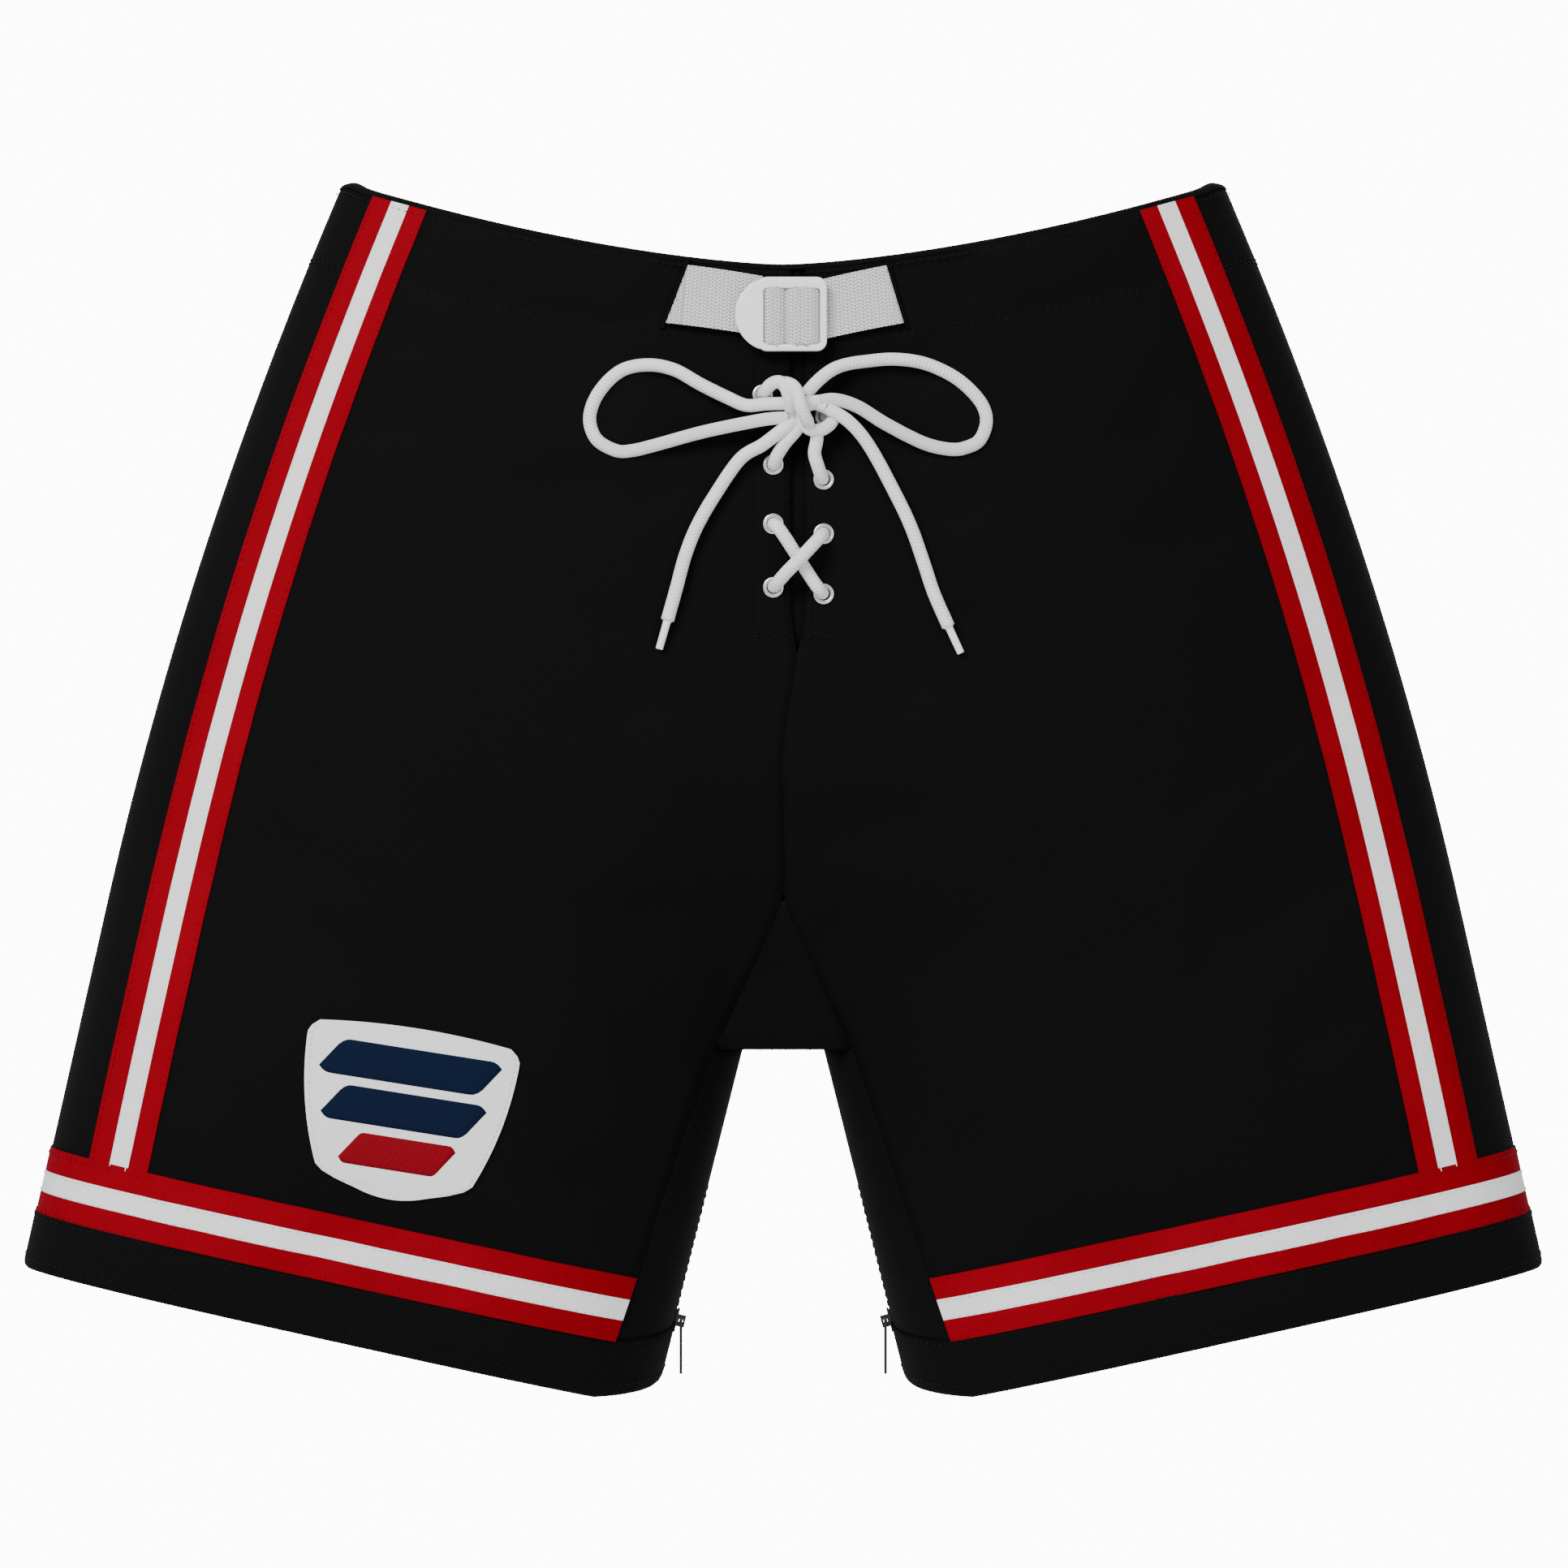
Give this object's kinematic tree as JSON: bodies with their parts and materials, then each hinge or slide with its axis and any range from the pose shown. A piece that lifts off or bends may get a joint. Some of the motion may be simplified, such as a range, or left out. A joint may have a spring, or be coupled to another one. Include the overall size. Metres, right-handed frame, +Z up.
{
  "type": "hockey pants",
  "caption": "Padded ice hockey pants with striped sides and hems, a laced fly, a buckled belt, inner-leg zips, foam pads and plastic caps",
  "frame": {"origin": "centre of the waist opening, level with the rim at the middle of the front", "axes": "+X towards the wearer's left, +Y towards the back, +Z up; the front faces -Y"},
  "size_m": [0.7464, 0.1951, 0.592],
  "materials": {
    "nylon_black": "matt woven nylon",
    "nylon_red": "matt woven nylon",
    "nylon_white": "matt woven nylon",
    "lining_black": "plain knit",
    "patch_twill": "woven twill",
    "webbing_white": "herringbone webbing",
    "lace_white": "round braided cord",
    "buckle_plastic": "moulded nylon",
    "eyelet_metal": "rolled nickel rim",
    "zip_metal": "satin",
    "foam": "closed-cell foam in a fabric sleeve",
    "cap_plastic": "moulded polyethylene"
  },
  "bodies": {
    "seat": {"front_panel_left": "nylon_black", "front_panel_right": "nylon_black", "back_panel_left": "nylon_black", "back_panel_right": "nylon_black", "hip_stripes_red": "nylon_red", "hip_stripes_white": "nylon_white", "belt_tunnel": "lining_black", "fly_tongue": "lining_black", "fly_facings": "nylon_black", "lace_eyelets": "eyelet_metal", "eyelet_washers": "eyelet_metal", "belt_webbing": "webbing_white", "crotch_gusset": "nylon_black", "spine_pad": "foam", "spine_cap": "cap_plastic", "kidney_pad_left": "foam", "kidney_pad_right": "foam", "hip_pad_left": "foam", "hip_pad_right": "foam", "hip_cap_left": "cap_plastic", "hip_cap_right": "cap_plastic", "seat_lining": "lining_black", "lace_crossing": "lace_white", "lace_strands": "lace_white", "lace_knot": "lace_white", "lace_loop_left": "lace_white", "lace_loop_right": "lace_white", "lace_tail_left": "lace_white", "lace_tail_right": "lace_white", "lace_tips": "lace_white"},
    "left_leg": {"leg_front_left": "nylon_black", "leg_back_left": "nylon_black", "inner_leg_left": "nylon_black", "groin_crease_left": "nylon_black", "leg_stripes_red_left": "nylon_red", "leg_stripes_white_left": "nylon_white", "hem_binding_left": "nylon_black", "thigh_pad_left": "foam", "thigh_cap_left": "cap_plastic", "leg_lining_left": "lining_black", "zip_chain_left": "zip_metal"},
    "right_leg": {"leg_front_right": "nylon_black", "leg_back_right": "nylon_black", "inner_leg_right": "nylon_black", "groin_crease_right": "nylon_black", "leg_stripes_red_right": "nylon_red", "leg_stripes_white_right": "nylon_white", "hem_binding_right": "nylon_black", "thigh_pad_right": "foam", "thigh_cap_right": "cap_plastic", "leg_lining_right": "lining_black", "zip_chain_right": "zip_metal", "leg_patch": "patch_twill"},
    "buckle": {"buckle": "buckle_plastic", "buckle_webbing": "webbing_white"},
    "belt_tail": {"belt_tail": "webbing_white"},
    "left_zip_slider": {"zip_slider_left": "zip_metal"},
    "left_zip_pull": {"zip_pull_left": "zip_metal"},
    "right_zip_slider": {"zip_slider_right": "zip_metal"},
    "right_zip_pull": {"zip_pull_right": "zip_metal"}
  },
  "joints": [
    {"name": "left_hip", "type": "hinge", "parent": "seat", "child": "left_leg", "pos_m": [0.18, 0, -0.29], "axis": [-1, 0, 0], "range_deg": [-10, 30], "stiffness_Nm_per_rad": 6, "deforming": ["groin_crease_left"]},
    {"name": "right_hip", "type": "hinge", "parent": "seat", "child": "right_leg", "pos_m": [-0.18, 0, -0.29], "axis": [-1, 0, 0], "range_deg": [-10, 30], "stiffness_Nm_per_rad": 6, "deforming": ["groin_crease_right"]},
    {"name": "buckle_lift", "type": "hinge", "parent": "seat", "child": "buckle", "pos_m": [0.0196, -0.0836, -0.0236], "axis": [0, 0, 1], "range_deg": [0, 50]},
    {"name": "belt_tail_pull", "type": "slide", "parent": "seat", "child": "belt_tail", "axis": [-1, 0, 0], "range_m": [0, 0.008]},
    {"name": "left_zip_open", "type": "slide", "parent": "left_leg", "child": "left_zip_slider", "axis": [-0.2444, 0, 0.9697], "range_m": [0, 0.058]},
    {"name": "left_zip_pull_swing", "type": "hinge", "parent": "left_zip_slider", "child": "left_zip_pull", "pos_m": [0.05045, 0, -0.51573], "axis": [0, 1, 0], "range_deg": [-12, 100]},
    {"name": "right_zip_open", "type": "slide", "parent": "right_leg", "child": "right_zip_slider", "axis": [0.2444, 0, 0.9697], "range_m": [0, 0.058]},
    {"name": "right_zip_pull_swing", "type": "hinge", "parent": "right_zip_slider", "child": "right_zip_pull", "pos_m": [-0.05045, 0, -0.51573], "axis": [0, -1, 0], "range_deg": [-12, 100]}
  ]
}
